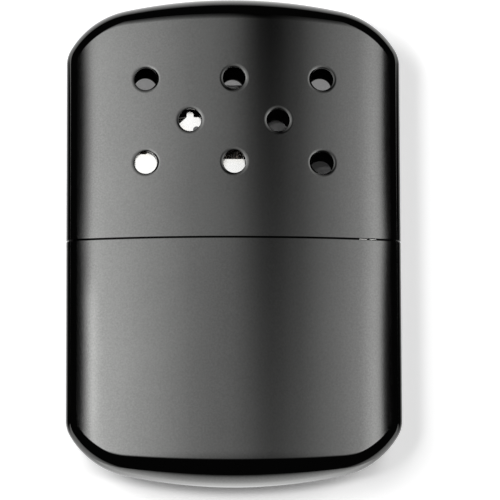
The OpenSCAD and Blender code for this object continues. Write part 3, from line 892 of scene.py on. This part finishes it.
def plane(name, low, high, z, material):
    """A flat sheet of the set, level at height z."""
    mesh = bpy.data.meshes.new(name)
    places = ((low[0], low[1]), (high[0], low[1]), (high[0], high[1]), (low[0], high[1]))
    mesh.from_pydata([(x * MM, y * MM, z * MM) for x, y in places], [], [(0, 1, 2, 3)])
    mesh.materials.append(material)
    obj = bpy.data.objects.new(name, mesh)
    bpy.context.scene.collection.objects.link(obj)
    return obj


def only_in_reflections(obj):
    """Hides a piece of the set from everything but reflections."""
    for ray in ("camera", "diffuse", "transmission", "volume_scatter", "shadow"):
        setattr(obj, f"visible_{ray}", False)


def lamp_material(name):
    """An empty material for a glowing piece of the set, and its output."""
    material = bpy.data.materials.new(name)
    material.use_nodes = True
    tree = material.node_tree
    tree.nodes.clear()
    output = tree.nodes.new("ShaderNodeOutputMaterial")
    return material, tree, output


plane("floor", (-FLOOR_SIZE / 2, -FLOOR_SIZE / 2), (FLOOR_SIZE / 2, FLOOR_SIZE / 2), 0, floor_material())

# ---- Reflected light: one broad panel overhead, darker in a band right of its middle ----
PANEL_HEIGHT = 500.0
PANEL_X = (-332.0, 374.0)
PANEL_Y = (-165.0, 560.0)
PANEL_SOFT_Y = 155.0
# The light falls off beyond this place along the object, to 1/e over the distance
FALLOFF_START = 150.0
FALLOFF_REACH = 150.0
# Brightness across the panel at two places along the object: distance from the object's middle, radiance
PANEL_NEAR_Y = 0.0
PANEL_FAR_Y = 150.0
PANEL_NEAR = [(-332, 0), (-325, 0.05), (-316, 1.1), (-305, 2.4), (-298, 4.6), (-290, 5.6), (-280, 5.2),
              (-260, 4.6), (-223, 4.0), (-177, 3.2), (-135, 2.6), (-73, 1.7), (-33, 1.4), (6, 1.2),
              (45, 0.85), (65, 0.65), (85, 0.55), (105, 0.6), (147, 0.85), (191, 1.3), (236, 1.75),
              (285, 2.5), (322, 4.2), (335, 3.9), (343, 2.8), (348, 0.4), (351, 0), (374, 0)]
PANEL_FAR = [(-332, 0), (-325, 0.05), (-316, 1.1), (-305, 2.4), (-298, 3.5), (-280, 3.8), (-260, 3.6),
             (-223, 3.2), (-177, 2.8), (-135, 2.35), (-73, 1.65), (-33, 1.4), (6, 1.0), (30, 0.6),
             (45, 0.33), (65, 0.13), (85, 0.08), (105, 0.12), (147, 0.4), (191, 1.0), (236, 1.5),
             (285, 2.0), (325, 3.1), (343, 2.9), (352, 2.2), (356, 0.4), (359, 0), (374, 0)]
# More light from the left end, between these places along the object
STRIP = [(-332, 0), (-324, 0.1), (-316, 1.1), (-305, 2.4), (-298, 2.3), (-289, 0.9), (-276, 0), (374, 0)]
STRIP_Y = (66.0, 80.0)
STRIP_START_Y = (8.0, 26.0)


def curve_node(tree, source, stops):
    """A value that follows straight ramps between stops along the panel."""
    curve = tree.nodes.new("ShaderNodeFloatCurve")
    tree.links.new(source, curve.inputs["Value"])
    top = max(level for _, level in stops)
    points = curve.mapping.curves[0].points
    while len(points) < len(stops):
        points.new(0.5, 0.5)
    for point, (x, level) in zip(points, stops):
        point.location = ((x - PANEL_X[0]) / (PANEL_X[1] - PANEL_X[0]), level / top)
        point.handle_type = "VECTOR"
    curve.mapping.update()
    return maths_node(tree, "MULTIPLY", curve.outputs["Value"], top)


def panel_material():
    """Light that changes across the panel and fades at both of its ends."""
    material, tree, output = lamp_material("panel_light")
    emission = tree.nodes.new("ShaderNodeEmission")
    x, y, _, _ = axis_nodes(tree)
    across = range_node(tree, x, PANEL_X[0] * MM, PANEL_X[1] * MM, 0, 1)
    blend = tree.nodes.new("ShaderNodeMix")
    tree.links.new(range_node(tree, y, PANEL_NEAR_Y * MM, PANEL_FAR_Y * MM, 0, 1), blend.inputs["Factor"])
    tree.links.new(curve_node(tree, across, PANEL_NEAR), blend.inputs["A"])
    tree.links.new(curve_node(tree, across, PANEL_FAR), blend.inputs["B"])
    beyond = maths_node(tree, "MAXIMUM", maths_node(tree, "SUBTRACT", y, FALLOFF_START * MM), 0)
    ends = maths_node(tree, "MULTIPLY",
                      range_node(tree, y, PANEL_Y[0] * MM, (PANEL_Y[0] + PANEL_SOFT_Y) * MM, 0, 1, True),
                      maths_node(tree, "POWER", math.exp(-1 / (FALLOFF_REACH * MM)), beyond))
    strip = maths_node(tree, "MULTIPLY", curve_node(tree, across, STRIP),
                       range_node(tree, y, STRIP_Y[0] * MM, STRIP_Y[1] * MM, 1, 0, True))
    strip = maths_node(tree, "MULTIPLY", strip,
                       range_node(tree, y, STRIP_START_Y[0] * MM, STRIP_START_Y[1] * MM, 0, 1, True))
    level = maths_node(tree, "ADD", blend.outputs["Result"], strip)
    tree.links.new(maths_node(tree, "MULTIPLY", level, ends), emission.inputs["Strength"])
    tree.links.new(emission.outputs[0], output.inputs["Surface"])
    return material


only_in_reflections(plane("overhead_panel", (PANEL_X[0], PANEL_Y[0]), (PANEL_X[1], PANEL_Y[1]),
                          PANEL_HEIGHT, panel_material()))

# ---- Near-black cloth that only reflections show: a tent round the set, and a sheet on the floor ----
TENT_R = 900.0
TENT_STEPS = (32, 24)
# The sheet starts between these places: beside the object, as far along as CUT_SIDE_Y, and beyond its ends.
# Under the object and near its ends it's cut out
CUT_X = (36.0, 52.0)
CUT_SIDE_Y = (38.0, 50.0)
CUT_END_Y = (55.0, 112.0)
SHEET_Z = 0.05
CLOTH_LEVEL = 0.015


def black_material(name, hole):
    """Near-black cloth, with hole set cut out under the object and near its ends, for the floor to show."""
    material, tree, output = lamp_material(name)
    black = tree.nodes.new("ShaderNodeEmission")
    black.inputs["Strength"].default_value = CLOTH_LEVEL
    surface = black.outputs[0]
    if hole:
        _, _, far_x, far_y = axis_nodes(tree)
        beside = maths_node(tree, "MULTIPLY",
                            range_node(tree, far_x, CUT_X[0] * MM, CUT_X[1] * MM, 0, 1, True),
                            range_node(tree, far_y, CUT_SIDE_Y[0] * MM, CUT_SIDE_Y[1] * MM, 1, 0, True))
        beyond = range_node(tree, far_y, CUT_END_Y[0] * MM, CUT_END_Y[1] * MM, 0, 1, True)
        mix = tree.nodes.new("ShaderNodeMixShader")
        clear = tree.nodes.new("ShaderNodeBsdfTransparent")
        tree.links.new(maths_node(tree, "MAXIMUM", beside, beyond), mix.inputs[0])
        tree.links.new(clear.outputs[0], mix.inputs[1])
        tree.links.new(surface, mix.inputs[2])
        surface = mix.outputs[0]
    tree.links.new(surface, output.inputs["Surface"])
    return material


only_in_reflections(plane("black_sheet", (-TENT_R, -TENT_R), (TENT_R, TENT_R), SHEET_Z,
                          black_material("cut_black_cloth", True)))
tent_mesh = bpy.data.meshes.new("black_tent")
shape = bmesh.new()
bmesh.ops.create_uvsphere(shape, u_segments=TENT_STEPS[0], v_segments=TENT_STEPS[1], radius=TENT_R * MM)
shape.to_mesh(tent_mesh)
shape.free()
tent_mesh.materials.append(black_material("black_cloth", False))
tent = bpy.data.objects.new("black_tent", tent_mesh)
bpy.context.scene.collection.objects.link(tent)
only_in_reflections(tent)

# ---- A lit card beyond the tank's end, which only reflections show ----
CARD_X = 37.0
CARD_Y = (-450.0, -50.6)
# It's brightest here, has this share of it at its near edge, and falls to 1/e over the reach
CARD_PEAK_Y = -58.0
CARD_LEVEL = 2.7
CARD_EDGE = 0.42
CARD_REACH = 45.0


def card_material():
    """Light that fades towards both ends of the card."""
    material, tree, output = lamp_material("lit_card")
    glow = tree.nodes.new("ShaderNodeEmission")
    y = axis_nodes(tree)[1]
    beyond = maths_node(tree, "MAXIMUM", maths_node(tree, "SUBTRACT", CARD_PEAK_Y * MM, y), 0)
    near = range_node(tree, y, CARD_PEAK_Y * MM, CARD_Y[1] * MM, CARD_LEVEL, CARD_LEVEL * CARD_EDGE)
    tree.links.new(maths_node(tree, "MULTIPLY", near,
                              maths_node(tree, "POWER", math.exp(-1 / (CARD_REACH * MM)), beyond)),
                   glow.inputs["Strength"])
    tree.links.new(glow.outputs[0], output.inputs["Surface"])
    return material


only_in_reflections(plane("lit_card", (-CARD_X, CARD_Y[0]), (CARD_X, CARD_Y[1]), 2 * SHEET_Z,
                          card_material()))

# ---- Lamps for matt surfaces and the floor: place, size, power in watts ----
LAMPS = {"key": ((-330.0, 130.0, 430.0), (260.0, 360.0), 2.1),
         "fill": ((420.0, 90.0, 400.0), (300.0, 360.0), 1.15),
         "side": ((-250.0, -40.0, 480.0), (90.0, 90.0), 0.35)}
for name, (place, size, power) in LAMPS.items():
    data = bpy.data.lights.new(name, "AREA")
    data.shape = "RECTANGLE"
    data.size, data.size_y = (s * MM for s in size)
    data.energy = power
    lamp = bpy.data.objects.new(name, data)
    bpy.context.scene.collection.objects.link(lamp)
    lamp.location = Vector(place) * MM
    lamp.rotation_mode = "QUATERNION"
    lamp.rotation_quaternion = (-Vector(place)).to_track_quat("-Z", "Y")
    lamp.visible_glossy = False

# ---- Surroundings: white to the eye, and only this share of it falls on things ----
WORLD_FILL = 0.03
world = bpy.data.worlds.new("studio")
bpy.context.scene.world = world
world.use_nodes = True
background = world.node_tree.nodes["Background"]
background.inputs["Color"].default_value = (1, 1, 1, 1)
world.node_tree.links.new(maths_node(world.node_tree, "MAXIMUM", seen_node(world.node_tree), WORLD_FILL),
                          background.inputs["Strength"])

# ---- Camera ----
CAMERA_AT = Vector((-22.7, -134.6, 887.1))
CAMERA_TILT = math.radians(8.595)
CAMERA_TURN = math.radians(-1.694)
CAMERA_ROLL = math.radians(-0.193)
FOCAL_PIXELS = 4378.4
PICTURE_PIXELS = 500
SENSOR_WIDTH = 36
CLIP = (10.0, 20000.0)

camera_data = bpy.data.cameras.new("camera")
camera_data.sensor_width = SENSOR_WIDTH
camera_data.lens = SENSOR_WIDTH * FOCAL_PIXELS / PICTURE_PIXELS
camera_data.clip_start = CLIP[0] * MM
camera_data.clip_end = CLIP[1] * MM
camera = bpy.data.objects.new("camera", camera_data)
bpy.context.scene.collection.objects.link(camera)
turn = Matrix.Rotation(CAMERA_TURN, 4, "Y") @ Matrix.Rotation(CAMERA_TILT, 4, "X")
camera.matrix_world = Matrix.Translation(CAMERA_AT * MM) @ turn @ Matrix.Rotation(CAMERA_ROLL, 4, "Z")
bpy.context.scene.camera = camera
bpy.context.scene.view_settings.view_transform = "Standard"
